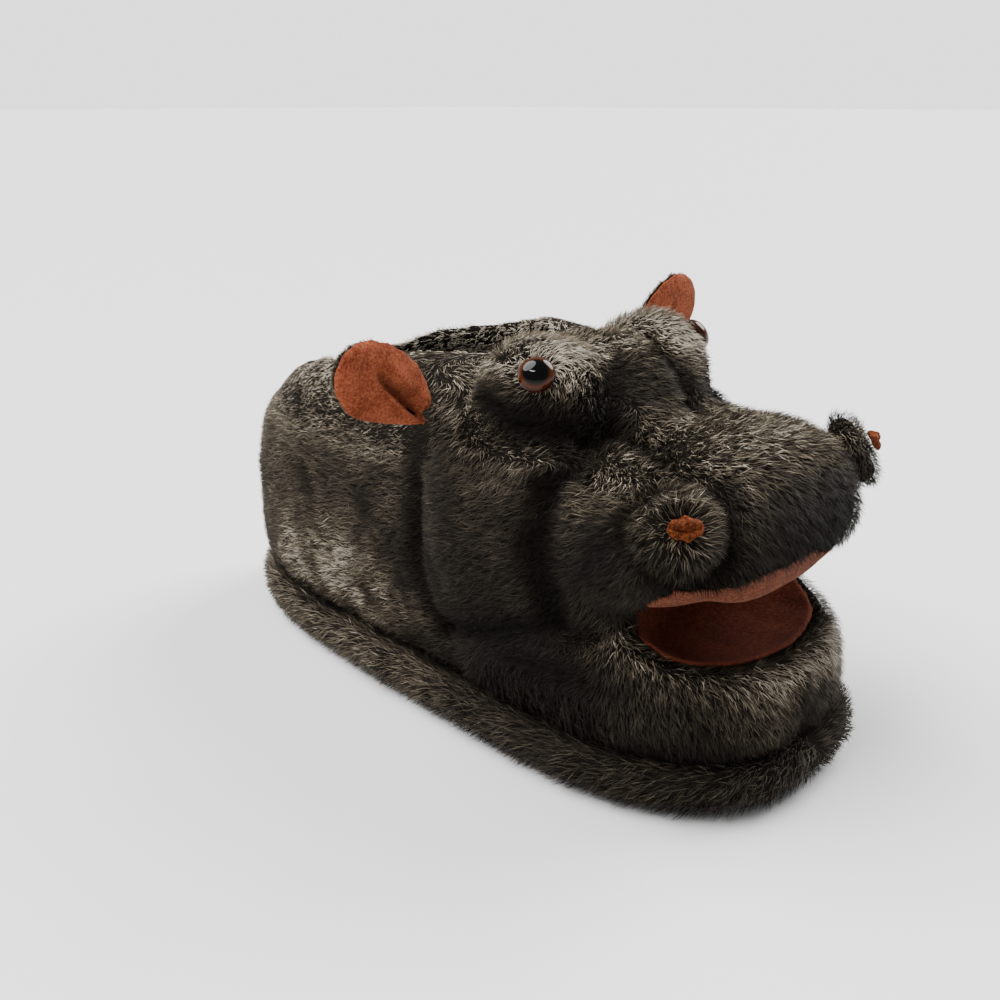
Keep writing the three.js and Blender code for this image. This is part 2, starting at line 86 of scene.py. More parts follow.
def addSoftbox(name, box):
    bpy.ops.object.light_add(type="AREA", location=box["from"])
    lamp = bpy.context.object
    lamp.name = name
    lamp.data.shape = "RECTANGLE"
    lamp.data.size, lamp.data.size_y = box["size"]
    lamp.data.energy = box["power"]
    towards = Vector(box["aim"]) - Vector(box["from"])
    lamp.rotation_euler = towards.to_track_quat("-Z", "Y").to_euler()


def addSun(name, sun):
    bpy.ops.object.light_add(type="SUN", location=sun["from"])
    lamp = bpy.context.object
    lamp.name = name
    lamp.data.energy = sun["strength"]
    lamp.data.angle = math.radians(sun["spread"])
    lamp.rotation_euler = Vector(sun["from"]).to_track_quat("Z", "Y").to_euler()


# Shader sums on sockets, so that a finish reads as an expression
class Sum:
    def __init__(self, finish, socket):
        self.finish = finish
        self.socket = socket

    def step(self, operation, first, second=0.0):
        return self.finish.node("ShaderNodeMath", {"operation": operation}, {0: first, 1: second})

    def __add__(self, other):
        return self.step("ADD", self, other)

    def __sub__(self, other):
        return self.step("SUBTRACT", self, other)

    def __rsub__(self, other):
        return self.step("SUBTRACT", other, self)

    def __mul__(self, other):
        return self.step("MULTIPLY", self, other)

    def __truediv__(self, other):
        return self.step("DIVIDE", self, other)

    def __pow__(self, other):
        return self.step("POWER", self, other)

    __radd__ = __add__
    __rmul__ = __mul__


class Finish:
    def __init__(self, name, **constants):
        self.material = bpy.data.materials.new(name)
        self.material.use_nodes = True
        self.tree = self.material.node_tree
        self.shader = self.tree.nodes["Principled BSDF"]
        for socket, value in constants.items():
            self.shader.inputs[socket.replace("_", " ")].default_value = value

    # Any node by its type, its settings and the values or links of its sockets
    def node(self, kind, settings=None, sockets=None, out=0):
        made = self.tree.nodes.new(kind)
        for name, value in (settings or {}).items():
            if name == "stops":
                ramp = made.color_ramp.elements
                ramp[0].position, ramp[1].position = value[0][0], value[-1][0]
                for place, colour in value[1:-1]:
                    ramp.new(place)
                for element, (place, colour) in zip(ramp, value):
                    element.color = (*colour, 1)
            else:
                setattr(made, name, value)
        for name, value in (sockets or {}).items():
            self.feed(made.inputs[name], value)
        return Sum(self, made.outputs[out])

    def feed(self, socket, value):
        if isinstance(value, Sum):
            self.tree.links.new(value.socket, socket)
        else:
            socket.default_value = value

    def drive(self, **sockets):
        for name, value in sockets.items():
            self.feed(self.shader.inputs[name.replace("_", " ")], value)

    def place(self):
        return self.node("ShaderNodeTexCoord", out=3)

    def noise(self, vector, scale, detail=2.0, rough=0.5):
        sockets = {"Vector": vector, "Scale": scale, "Detail": detail, "Roughness": rough}
        return self.node("ShaderNodeTexNoise", None, sockets)

    def blend(self, share, first, second):
        first, second = ((*colour, 1) if isinstance(colour, tuple) else colour for colour in (first, second))
        return self.node("ShaderNodeMix", {"data_type": "RGBA"}, {0: share, 6: first, 7: second}, out=2)

    def ramp(self, value, stops):
        return self.node("ShaderNodeValToRGB", {"stops": stops}, {0: value})

    def grain(self, height, distance, strength):
        sockets = {"Height": height, "Distance": distance, "Strength": strength}
        return self.node("ShaderNodeBump", None, sockets)


# Hairs: across its UV map a hair has its shade, and up it its height from root to tip
def hairFinish(name, look):
    finish = Finish(name, Roughness=look["roughness"], Specular_IOR_Level=look["gloss"])
    strand = finish.node("ShaderNodeUVMap", {"uv_map": "OFBake"})
    shade = finish.node("ShaderNodeSeparateXYZ", None, {0: strand})
    along = finish.node("ShaderNodeSeparateXYZ", None, {0: strand}, out=1)
    tipColour = finish.ramp(shade, look["tips"])
    finish.drive(Base_Color=finish.blend(along ** look["rootReach"], look["root"], tipColour))
    return finish.material


# Backing cloth, seen only between the hairs
def plushFinish():
    look = {"dark": (0.003, 0.0026, 0.002), "light": (0.013, 0.011, 0.009)}
    finish = Finish("plush_backing", Roughness=1.0, Specular_IOR_Level=0.02)
    place = finish.place()
    nap = finish.noise(place, 900, 3.0)
    patch = finish.noise(place, 45, 2.0)
    finish.drive(Base_Color=finish.blend(nap * patch * 1.6, look["dark"], look["light"]))
    finish.drive(Normal=finish.grain(nap, 0.0008, 0.8))
    return finish.material


# Velvet and felt: a fine nap over broader brushed patches
def velvetFinish(name, look):
    finish = Finish(name, Roughness=look["roughness"], Specular_IOR_Level=0.08, Sheen_Weight=look["sheen"])
    finish.shader.inputs["Sheen Tint"].default_value = (*look["sheenTint"], 1)
    place = finish.place()
    nap = finish.noise(place, look["nap"], 4.0, 0.75)
    brushed = finish.noise(place, look["brushed"], 2.0, 0.5)
    stops = [(0.40, look["dark"]), (0.5, look["middle"]), (0.60, look["light"])]
    finish.drive(Base_Color=finish.ramp(nap * 0.75 + brushed * 0.25, stops))
    finish.drive(Normal=finish.grain(nap + brushed * 0.4, look["depth"], look["strength"]))
    return finish.material


# Grip cloth under the sole: dark woven cloth with rows of rubber dots
def gripFinish():
    look = {"dots": 190, "cloth": (0.030, 0.027, 0.024), "dot": (0.012, 0.011, 0.010), "threads": 2600}
    finish = Finish("grip_cloth", Roughness=0.85, Specular_IOR_Level=0.2)
    place = finish.place()
    sockets = {"Vector": place, "Scale": look["dots"], "Randomness": 0.0}
    away = finish.node("ShaderNodeTexVoronoi", {"feature": "F1", "voronoi_dimensions": "2D"}, sockets)
    dot = finish.ramp(away, [(0.26, (1, 1, 1)), (0.34, (0, 0, 0))])
    threads = finish.noise(place, look["threads"], 1.0)
    finish.drive(Base_Color=finish.blend(dot, look["cloth"], look["dot"]))
    finish.drive(Normal=finish.grain(threads * 0.2 + dot, 0.0006, 0.8))
    return finish.material


# Short fleece of the insole
def fleeceFinish():
    look = {"dark": (0.020, 0.017, 0.013), "light": (0.085, 0.074, 0.058)}
    finish = Finish("insole_fleece", Roughness=1.0, Specular_IOR_Level=0.05)
    place = finish.place()
    curls = finish.noise(place, 420, 4.0, 0.7)
    finish.drive(Base_Color=finish.ramp(curls, [(0.35, look["dark"]), (0.7, look["light"])]))
    finish.drive(Normal=finish.grain(curls, 0.0018, 1.0))
    return finish.material


# Places, directions and triangles of a mesh as arrays
def arraysOf(piece):
    mesh = piece.data
    mesh.calc_loop_triangles()
    points = np.empty(len(mesh.vertices) * 3)
    mesh.vertices.foreach_get("co", points)
    normals = np.empty(len(mesh.vertices) * 3)
    mesh.vertices.foreach_get("normal", normals)
    corners = np.empty(len(mesh.loop_triangles) * 3, np.int32)
    mesh.loop_triangles.foreach_get("vertices", corners)
    return points.reshape(-1, 3), normals.reshape(-1, 3), corners.reshape(-1, 3)


def setPoints(piece, points):
    piece.data.vertices.foreach_set("co", points.astype(np.float32).ravel())
    piece.data.update()


# One tree for rays and nearest places on several pieces
def treeOf(*pieces):
    points, corners, start = [], [], 0
    for piece in pieces:
        co, _, tris = arraysOf(piece)
        points.extend(map(tuple, co))
        corners.extend(map(tuple, tris + start))
        start += len(co)
    return BVHTree.FromPolygons(points, corners)


def unit(vectors):
    return vectors / np.maximum(np.linalg.norm(vectors, axis=1, keepdims=True), 1e-9)


# Points in mm, with the right side folded over on the left
def foldedOver(points):
    return np.stack([np.abs(points[:, 0]), points[:, 1], points[:, 2]], 1) / mm


# Which side each point is on, as what turns it into its mirror image on the left
def sidesOf(points):
    side = np.where(points[:, 0] < 0, -1.0, 1.0)
    return np.stack([side, np.ones_like(side), np.ones_like(side)], 1)


# 0 below low, 1 above high, smooth between them
def ease(value, low, high):
    t = np.clip((value - low) / (high - low), 0, 1)
    return t * t * (3 - 2 * t)


def newPiece(name, mesh):
    piece = bpy.data.objects.new(name, mesh)
    bpy.context.scene.collection.objects.link(piece)
    return piece


# A node's mesh as a new piece, with its loose triangles merged
def copyOfNode(node, name):
    piece = newPiece(name, nodes[node].data.copy())
    piece.data.materials.clear()
    activate(piece)
    bpy.ops.object.mode_set(mode="EDIT")
    bpy.ops.mesh.select_all(action="SELECT")
    bpy.ops.mesh.remove_doubles(threshold=0.00002)
    bpy.ops.object.mode_set(mode="OBJECT")
    return piece


def applyModifier(piece, kind, **settings):
    activate(piece)
    modifier = piece.modifiers.new(kind.lower(), kind)
    for name, value in settings.items():
        setattr(modifier, name, value)
    bpy.ops.object.modifier_apply(modifier=modifier.name)


def softened(piece, voxel, rounds):
    applyModifier(piece, "REMESH", mode="VOXEL", voxel_size=voxel, use_smooth_shade=True)
    applyModifier(piece, "SMOOTH", factor=0.5, iterations=rounds)
    activate(piece)
    bpy.ops.object.shade_smooth()


def finishPiece(piece, slot, material, *replaced):
    piece.data.materials.clear()
    piece.data.materials.append(material)
    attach(piece, "root")
    if replaced:
        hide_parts(*replaced)


# Creases of the upper: points in mm on the animal's left side, half width and depth in mm, and dark as the
# share of painted shade on the pile in each crease
creases = {
    "heelSeam": {"wide": 6, "deep": 3.6, "dark": 0.7, "sides": (1, -1),
                 "line": [(59, -10, 100), (61, -12, 92), (61, -9, 66), (61, -18, 46), (61, -26, 39)]},
    "jawLine": {"wide": 8, "deep": 4.5, "dark": 0.9, "sides": (1, -1),
                "line": [(61, -26, 39), (62, -33, 42), (64, -55, 50), (64, -68, 56), (62, -84, 62),
                         (57, -95, 64)]},
    "crevice": {"wide": 10, "deep": 5.5, "dark": 0.95, "sides": (1, -1),
                "line": [(41, -84, 127), (53, -83, 121), (60, -80, 114), (65, -80, 104), (64, -77, 91),
                         (62, -78, 75), (61, -84, 64)]},
    "underEye": {"wide": 12, "deep": 5.5, "dark": 0.95, "sides": (1, -1),
                 "line": [(55, -40, 132), (55, -55, 128), (51, -70, 128), (42, -80, 130), (31, -84, 132)]},
    "nearBrowFold": {"wide": 9, "deep": 3.5, "dark": 0.7, "sides": (-1,),
                     "line": [(7, -62, 147), (24, -74, 140), (30, -82, 134), (31, -92, 126),
                              (37, -105, 124)]},
    "farBrowFold": {"wide": 8, "deep": 4.5, "dark": 0.9, "sides": (1,),
                    "line": [(21, -57, 149), (16, -68, 144), (14, -76, 141), (9, -85, 135), (6, -92, 129)]},
    "chin": {"wide": 4.5, "deep": 3.2, "dark": 0.8, "sides": (1,),
             "line": [(-6, -151, 46), (-6, -152, 37), (-4, -152, 24)]},
}

# Nostril: its mound ends in a groove, and its patch sits in a dimple, less deep on the left, all in mm
nostrilForm = {
    "ring": 17, "ringWide": 4.5, "ringDeep": 4.5, "dimple": 6.5, "dimpleDeep": 2.4, "puff": 4.4,
    "patchSunk": 2.6, "leftRaised": 1.6,
}


# Points every 2 mm along a crease, each on the surface and with the surface's own direction
def creasePoints(crease, tree):
    found = []
    for side in crease["sides"]:
        corners = [Vector((x * side, y, z)) * mm for x, y, z in crease["line"]]
        for first, second in zip(corners, corners[1:]):
            steps = max(1, round((second - first).length / (2 * mm)))
            for step in range(steps + 1):
                place, normal, _, _ = tree.find_nearest(first.lerp(second, step / steps))
                outward = place - Vector((0, place.y, 70 * mm))
                found.append((place, normal if normal.dot(outward) > 0 else -normal))
    return found


# Presses the creases into a piece, and gives how folded each of its points is with its share of painted
# shade, 0 to 1
def pressCreases(piece):
    tree = treeOf(piece)
    points, _, _ = arraysOf(piece)
    moved = points.copy()
    foldsAndPaintedShade = np.zeros(len(points))
    for crease in creases.values():
        line = creasePoints(crease, tree)
        near = kdtree.KDTree(len(line))
        for index, (place, _) in enumerate(line):
            near.insert(place, index)
        near.balance()
        wall = 16 * mm      # both walls of the plush go in together
        low = np.min([place for place, _ in line], axis=0) - wall
        high = np.max([place for place, _ in line], axis=0) + wall
        for index in np.flatnonzero(((points > low) & (points < high)).all(1)):
            place, found, distance = near.find(points[index])
            normal = line[found][1]
            offset = Vector(points[index]) - place
            height = offset.dot(normal)
            across = (offset - normal * height).length / (crease["wide"] * mm)
            if across < 1 and -wall < height < wall / 2:
                share = (1 - across ** 2) ** 2
                moved[index] -= np.array(normal) * crease["deep"] * mm * share
                # painted shade: the crease's dark share is kept to darken the pile's colour there
                foldsAndPaintedShade[index] = max(foldsAndPaintedShade[index], share * crease["dark"])
    setPoints(piece, moved)
    return foldsAndPaintedShade


# Swells of the plush over its solid: centre, reach and height in mm, on both sides
swells = [
    {"centre": (0, -50, 146), "reach": (24, 26, 18), "lift": 5.0},
    {"centre": (40, -52, 148), "reach": (18, 20, 16), "lift": 2.5},
    {"centre": (60, -118, 92), "reach": (16, 20, 18), "lift": 2.0},
]

# The collar above its solid, in mm: all round, and more on the left and at the heel
collarRise = {"all": 3.0, "left": 3.5, "heel": 3.5}


def swell(piece):
    points, normals, _ = arraysOf(piece)
    folded = foldedOver(points)
    lift = np.zeros(len(points))
    for row in swells:
        offset = (folded - np.array(row["centre"])) / np.array(row["reach"])
        lift += row["lift"] * np.exp(-(offset ** 2).sum(1))
    outer = ease(normals[:, 2] + 0.4 * np.abs(normals[:, 0]), -0.1, 0.3)
    points += normals * (lift * outer)[:, None] * mm
    x, y, z = (points / mm).T
    rise = collarRise["all"] + collarRise["left"] * ease(x, 4, 26)
    rise = rise * ease(y, -40, -18) * (1 - ease(y, 70, 104))
    rise = np.maximum(rise, collarRise["heel"] * ease(y, 50, 84))
    points[:, 2] += rise * mm * ease(z, 96, 122)
    setPoints(piece, points)


# Height of the muzzle's lower edge over the mouth, in mm
def muzzleEdge(y):
    return 63 + (-y - 87) * 0.41


# The muzzle's front set back between and below the nostrils, and sagging over the mouth, in mm
muzzleFront = {"back": 4.5, "middle": 99, "reach": 19, "sag": 4.5}


def muzzleSag(y, z):
    near = (1 - ease(z - muzzleEdge(y), 4, 26)) * ease(z, 56, 62)
    return muzzleFront["sag"] * mm * ease(-y, 122, 150) * near


def setBackMuzzle(piece):
    points, _, _ = arraysOf(piece)
    folded = foldedOver(points)
    mound = np.linalg.norm(folded - np.array(slipper["nostril"]), axis=1)
    level = (folded[:, 2] - muzzleFront["middle"]) / muzzleFront["reach"]
    share = ease(-folded[:, 1], 108, 142) * np.exp(-level ** 4)
    points[:, 1] += muzzleFront["back"] * mm * share * (1 - np.exp(-(mound / nostrilForm["ring"]) ** 4))
    points[:, 2] -= muzzleSag(folded[:, 1], folded[:, 2])
    setPoints(piece, points)


# Lip: velvet turned up outside the muzzle over the mouth, in mm, "inward" being a share of the palate's width
lipForm = {
    "tall": 8.5, "from": 100, "to": 124, "proud": 0.3, "thick": 1.0, "hang": 4.0,
    "back": -134, "inward": 0.84,
}


# Where the lip covers the upper, 0 to 1
def lipShare(points, normals):
    x, y, z = (points / mm).T
    outside = ease(normals[:, 0] * x / 60 + normals[:, 1] * (y + 110) / 45, -0.05, 0.15)
    edge = muzzleEdge(y)
    sag = muzzleFront["sag"] * ease(-y, 122, 150)
    tall = lipForm["tall"] * (1 - 0.6 * ease(x, 0, 24)) * ease(-y, lipForm["from"], lipForm["to"])
    top = edge + tall - sag + 0.6 * np.sin(x * 0.7)
    strip = (1 - ease(z, top - 1.2, top + 1.2)) * ease(z, edge - sag - 7, edge - sag - 5)
    return outside * strip * ease(-y, lipForm["from"], lipForm["from"] + 5)


def makeLip(upper, material):
    mesh = upper.data.copy()
    lip = newPiece("lip_velvet", mesh)
    points, normals, _ = arraysOf(lip)
    spare = lipShare(points, normals) < 0.12
    activate(lip)
    bpy.context.tool_settings.mesh_select_mode = (True, False, False)
    bpy.ops.object.mode_set(mode="EDIT")
    bpy.ops.mesh.select_all(action="DESELECT")
    bpy.ops.object.mode_set(mode="OBJECT")
    mesh.vertices.foreach_set("select", spare)
    bpy.ops.object.mode_set(mode="EDIT")
    bpy.ops.mesh.delete(type="VERT")
    bpy.ops.object.mode_set(mode="OBJECT")
    points, normals, _ = arraysOf(lip)
    x, y, z = (points / mm).T
    above = z - muzzleEdge(y) + muzzleFront["sag"] * ease(-y, 122, 150)
    hanging = (1 - ease(above, 1, 7)) * ease(-y, lipForm["from"], lipForm["to"] + 14)
    deeper = 1 + 0.6 * ease(-y, 128, 150)
    points[:, 2] -= lipForm["hang"] * mm * hanging * deeper * (1 - 0.7 * ease(x, 0, 24))
    setPoints(lip, points + normals * lipForm["proud"] * mm)
    applyModifier(lip, "SMOOTH", factor=0.5, iterations=3)
    applyModifier(lip, "SOLIDIFY", thickness=lipForm["thick"] * mm, offset=1.0)
    applyModifier(lip, "SUBSURF", levels=1, render_levels=1)
    finishPiece(lip, "velvet", material)
    print("lip:", len(lip.data.polygons), "faces")


# A puffed ring round each nostril, with a dimple for the patch
def puffNostrils(piece):
    points, normals, _ = arraysOf(piece)
    outward = unit(np.array([slipper["nostrilOut"]]))[0]
    offset = points / mm * sidesOf(points) - np.array(slipper["nostril"])
    height = offset @ outward
    across = np.linalg.norm(offset - height[:, None] * outward, axis=1)
    form = nostrilForm
    ring = np.exp(-((np.linalg.norm(offset, axis=1) - form["ring"]) / form["ringWide"]) ** 2)
    dimple = np.exp(-(across / form["dimple"]) ** 4) * (height > 4)
    puff = np.exp(-((across - form["dimple"] - 3) / 3.5) ** 2) * (height > 0)
    lift = form["puff"] * puff - form["ringDeep"] * ring * (height < 9) - form["dimpleDeep"] * dimple
    setPoints(piece, points + normals * lift[:, None] * mm * (height > -12)[:, None])


# Upper: the plush shell that the pile grows on
upperLook = {"voxel": 3.2 * mm, "rounds": 6, "pileRoom": 2.0 * mm, "fill": 0.7}


def makeUpper(material):
    upper = copyOfNode("upper", "upper_plush")
    softened(upper, upperLook["voxel"], upperLook["rounds"])
    points, normals, _ = arraysOf(upper)
    setPoints(upper, points - normals * upperLook["pileRoom"])
    swell(upper)
    foldsAndPaintedShade = pressCreases(upper)
    setBackMuzzle(upper)
    puffNostrils(upper)
    applyModifier(upper, "SMOOTH", factor=0.4, iterations=2)
    finishPiece(upper, "plush", material, "upper")
    print("upper:", len(upper.data.polygons), "faces")
    return upper, foldsAndPaintedShade


# Sole band: a little fuller at the toe and slimmer at the heel, in mm
bandLook = {"voxel": 2.0 * mm, "rounds": 2, "toeGrow": 1.8, "heelShrink": 3.0, "fill": 0.8}


def makeBand(material):
    band = copyOfNode("sole_band", "sole_band_plush")
    softened(band, bandLook["voxel"], bandLook["rounds"])
    points, normals, _ = arraysOf(band)
    level = np.stack([normals[:, 0], normals[:, 1], np.zeros(len(points))], 1)
    heel = ease(points[:, 1] / mm, 10, 110)
    grown = bandLook["toeGrow"] * (1 - heel) - bandLook["heelShrink"] * heel
    setPoints(band, points + level * grown[:, None] * mm)
    finishPiece(band, "plush", material, "sole_band")
    print("sole band:", len(band.data.polygons), "faces")
    return band


# Pile: every hair is a flat blade of two triangles, bent once, joined into one mesh for each panel
pile = {
    "upperHairs": 308000, "bandHairs": 45500, "quickShare": 0.3,
    "length": 6.6, "bandLength": 7.5, "width": 0.30,
    "lyingRise": 34, "lyingSettle": 12, "standingRise": 52, "standingSettle": 28,
    "stray": 0.40, "clump": 0.16, "clumpSpacing": 3.2, "sunk": 0.8,
    "pieceHairs": 96000,      # most in one piece, which keeps it under 200,000 triangles
}


def hairCount(hairs):
    return int(hairs * (1))


# Fur direction on the left half, in mm; the right half is its mirror image
def pileFlow(points, normals):
    mirror = sidesOf(points)
    p, n = points * mirror / mm, normals * mirror
    x, y, z = p.T
    flow = np.tile(np.array([0.12, 1.0, -0.15]), (len(p), 1))

    def mix(weight, direction):
        nonlocal flow
        direction = unit(np.broadcast_to(np.asarray(direction, float), flow.shape))
        flow = unit(flow) * (1 - weight[:, None]) + direction * weight[:, None]

    onHead = ease(-y, -2, 12) * ease(z, slipper["cheekBottom"] - 6, slipper["cheekBottom"] + 2)
    mix(onHead * (1 - ease(n[:, 2], 0.3, 0.6)), (0.0, 1.0, -0.3))
    mix(onHead * ease(n[:, 2], 0.2, 0.5), (0.8, 0.2, -0.6))
    mix(onHead * ease(n[:, 2], 0.55, 0.8), (-0.1, -1.0, 0.0))
    jaw = ease(-y, 25, 60) * (1 - ease(z, slipper["cheekBottom"] - 6, slipper["cheekBottom"] + 2))
    mix(jaw, (0.1, -1.0, -0.75))
    frontJaw = ease(-y, 90, 110) * (1 - ease(z, 66, 74))
    mix(frontJaw, np.stack([0.1 * x / 30, -0.6 + 0 * x, -0.8 + 0 * x], 1))
    collar = np.stack([x / slipper["collarWidth"] * 2,
                       (y - slipper["collarCentre"]) / slipper["collarLength"] * 2], 1)
    far = np.linalg.norm(collar, axis=1)
    outward = np.stack([0.4 * collar[:, 0], 1.0 + 0.3 * collar[:, 1], -0.2 * far], 1)
    mix(ease(z, 85, 105) * np.exp(-((far - 1.15) / 0.3) ** 2) * ease(y, -30, 0), outward)
    mix(ease(z, 60, 80) * (1 - ease(far, 0.9, 1.02)) * ease(y, -25, -5), (0.0, 0.0, -1.0))
    muzzle = ease(-y, 80, 88) * ease(z, 60, 68)
    away = p - np.array(slipper["nostril"])
    mix(muzzle, unit(away) + np.array([0, 0, -0.2]))
    middle = muzzle * (1 - ease(x, 34, 54)) + muzzle * ease(x, 34, 54) * ease(n[:, 2], 0.6, 0.85) * 0.8
    mix(middle, np.stack([-0.1 * x / 60, -0.6 + 0 * x, -0.9 + 0 * x], 1))
    mix(np.exp(-(np.linalg.norm(away, axis=1) / 15) ** 2) * 0.9, unit(away))
    aroundEye = p - np.array(slipper["eye"])
    nearEye = np.exp(-(np.linalg.norm(aroundEye, axis=1) / 12) ** 2) * 0.75
    mix(nearEye, unit(aroundEye) + np.array([0.3, 0.2, -0.35]))
    return flow * mirror


# How far the pile stands up: 0 where it lies combed, 1 where it is fluffed
def pileStand(points, normals):
    y, z = points[:, 1] / mm, points[:, 2] / mm
    muzzle = ease(-y, 76, 90)
    brow = ease(-y, 10, 30) * ease(z, 112, 124)
    jaw = ease(-y, 30, 55) * (1 - ease(z, 40, 50))
    collar = ease(z, 98, 112) * ease(y, -28, -14)
    return np.clip(np.maximum.reduce([muzzle, brow, jaw * 0.8]) + 0.2, 0, 1) - 1.0 * collar


# Longer locks where the muzzle's back corner hangs over the mouth, shorter ones at the collar and the eyes
def drape(points):
    folded = foldedOver(points)
    _, y, z = folded.T
    fringe = np.exp(-((z - muzzleEdge(y)) / 7) ** 2) * ease(-y, 80, 95) * (1 - ease(-y, 104, 114))
    collar = ease(z, 98, 112) * ease(y, -28, -14)
    eye = np.exp(-(np.linalg.norm(folded - np.array(slipper["eye"]), axis=1) / 11) ** 2)
    return (1 + 0.35 * fringe - 0.25 * collar) * (1 - 0.4 * eye)


# Around the sole's outline, level and backward from the toe
def bandFlow(points, normals):
    flow = np.stack([-normals[:, 1], normals[:, 0], np.full(len(points), -0.35)], 1)
    turn = np.where(flow[:, 1] < 0, -1.0, 1.0)
    flow[:, :2] *= turn[:, None]
    return flow


# Slow waves over the surface, one for each phase
def waves(points, size, phase):
    a = points / (size * mm)
    across = np.sin(a[:, 0] * 1.3 + a[:, 1] * 0.8 + phase)
    along = np.sin(a[:, 1] * 1.7 - a[:, 2] * 1.1 + 2.1 * phase)
    up = np.sin(a[:, 2] * 1.5 + a[:, 0] * 0.9 + 3.7 * phase)
    return (across + along + up) / 3


# Roots over a piece, thick where its weight is high, each with its direction, its weight and its share of
# painted light
def scatter(piece, count, weight, clear, random):
    points, normals, corners = arraysOf(piece)
    first, second, third = (points[corners[:, k]] for k in range(3))
    area = np.linalg.norm(np.cross(second - first, third - first), axis=1)
    share = np.cumsum(area * weight[corners].mean(1))
    picked = corners[np.searchsorted(share / share[-1], random.random(count))]
    root, split = np.sqrt(random.random(count)), random.random(count)
    parts = np.stack([1 - root, root * (1 - split), root * split], 1)[:, :, None]
    spots, facing = (points[picked] * parts).sum(1), unit((normals[picked] * parts).sum(1))
    return spots, facing, (weight[picked] * parts[:, :, 0]).sum(1), (clear[picked] * parts[:, :, 0]).sum(1)


def turned(vectors, axes, angles):
    cos, sin = np.cos(angles)[:, None], np.sin(angles)[:, None]
    return vectors * cos + np.cross(axes, vectors) * sin


# Root, middle and tip of each hair, and the hair whose lock it leans into
def growHairs(roots, normals, flow, stand, length, random):
    count = len(roots)
    spacing = pile["clumpSpacing"] * mm
    lie = flow - normals * (flow * normals).sum(1)[:, None]
    lie = unit(lie + 1e-6)
    swirl = waves(roots, 11, 1.0) * 0.22 + waves(roots, 4.5, 2.0) * 0.14
    lie = turned(lie, normals, swirl + random.normal(0, pile["stray"], count))
    rise = pile["lyingRise"] + (pile["standingRise"] - pile["lyingRise"]) * stand
    settle = pile["lyingSettle"] + (pile["standingSettle"] - pile["lyingSettle"]) * stand
    rise = np.radians(rise) * (1 + 0.12 * waves(roots, 6, 4.0) + random.normal(0, 0.25, count))
    settle = np.radians(settle) * (1 + 0.15 * waves(roots, 5, 1.5) + random.normal(0, 0.5, count))
    base = roots - normals * pile["sunk"] * mm
    half = (length * 0.5)[:, None]
    middle = base + half * (lie * np.cos(rise)[:, None] + normals * np.sin(rise)[:, None])
    tip = middle + half * (lie * np.cos(settle)[:, None] + normals * np.sin(settle)[:, None])
    order = random.permutation(count)
    cells = (roots[order] // spacing).astype(np.int64) @ np.array([1, 4001, 16008001])
    kept = order[np.unique(cells, return_index=True)[1]]
    near = kdtree.KDTree(len(kept))
    for index, guide in enumerate(kept):
        near.insert(roots[guide], index)
    near.balance()
    owner = np.array([kept[near.find(point)[1]] for point in roots])
    pull = pile["clump"] * random.uniform(0.5, 1.1, count)[:, None]
    tip += (tip[owner] - tip) * pull
    middle += (middle[owner] - middle) * pull * 0.35
    return base, middle, tip, owner


def furMesh(name, base, middle, tip, normals, shade, material, random):
    count = len(base)
    blade = unit(tip - base)
    across = unit(np.cross(blade, normals))
    across = unit(across + normals * random.normal(0, 0.5, count)[:, None])
    half = across * (pile["width"] * mm / 2 * random.uniform(0.6, 1.25, count))[:, None]
    points = np.stack([base, middle - half, middle + half, tip], 1).reshape(-1, 3)
    start = (np.arange(count) * 4)[:, None]
    corners = (start + np.array([0, 2, 1, 1, 2, 3])).ravel()
    mesh = bpy.data.meshes.new(name)
    mesh.vertices.add(len(points))
    mesh.vertices.foreach_set("co", points.astype(np.float32).ravel())
    mesh.loops.add(len(corners))
    mesh.loops.foreach_set("vertex_index", corners.astype(np.int32))
    mesh.polygons.add(count * 2)
    mesh.polygons.foreach_set("loop_start", np.arange(0, count * 6, 3, dtype=np.int32))
    mesh.update(calc_edges=True)
    u = np.clip(shade, 0.02, 0.98)[:, None] + [[0, 0.01, -0.01, -0.01, 0.01, 0]]
    v = np.tile([0.0, 0.5, 0.5, 0.5, 0.5, 1.0], (count, 1))
    layer = mesh.uv_layers.new(name="OFBake")
    layer.data.foreach_set("uv", np.stack([u, v], 2).astype(np.float32).ravel())
    finishPiece(newPiece(name, mesh), "plush", material)
    print(name, count, "hairs")


# Share of the upper air that each point of a piece sees, by rays from every few points
airLook = {"points": 9000, "levels": (0.25, 0.75, 1.2), "turns": 6, "start": 1.5 * mm, "far": 0.3, "near": 10}


def openness(piece, blockers):
    tree = treeOf(piece, *blockers)
    points, normals, _ = arraysOf(piece)
    sample = np.random.default_rng(5).permutation(len(points))[:airLook["points"]]
    turns = [(level, turn * 1.05 + level) for level in airLook["levels"] for turn in range(airLook["turns"])]
    near = kdtree.KDTree(len(sample))
    clear = np.zeros(len(sample))
    for index, vertex in enumerate(sample):
        outward = Vector(normals[vertex])
        side = outward.orthogonal().normalized()
        other = outward.cross(side)
        start = Vector(points[vertex]) + outward * airLook["start"]
        seen = total = 0.0
        for level, turn in turns:
            sideways = (side * math.cos(turn) + other * math.sin(turn)) * math.sin(level)
            cast = outward * math.cos(level) + sideways
            weight = math.cos(level) * (0.35 + 0.65 * max(cast.z, 0))
            total += math.cos(level)
            if tree.ray_cast(start, cast, airLook["far"])[0] is None:
                seen += weight
        clear[index] = seen / total
        near.insert(points[vertex], index)
    near.balance()
    spread = np.zeros(len(points))
    for index, point in enumerate(points):
        found = near.find_n(point, airLook["near"])
        spread[index] = sum(clear[k] for _, k, _ in found) / len(found)
    return spread


# Distance of each point of a piece to the trims, in mm
def distanceTo(piece, others):
    tree = treeOf(*others)
    points, _, _ = arraysOf(piece)
    return np.array([tree.find_nearest(Vector(point))[3] for point in points]) / mm


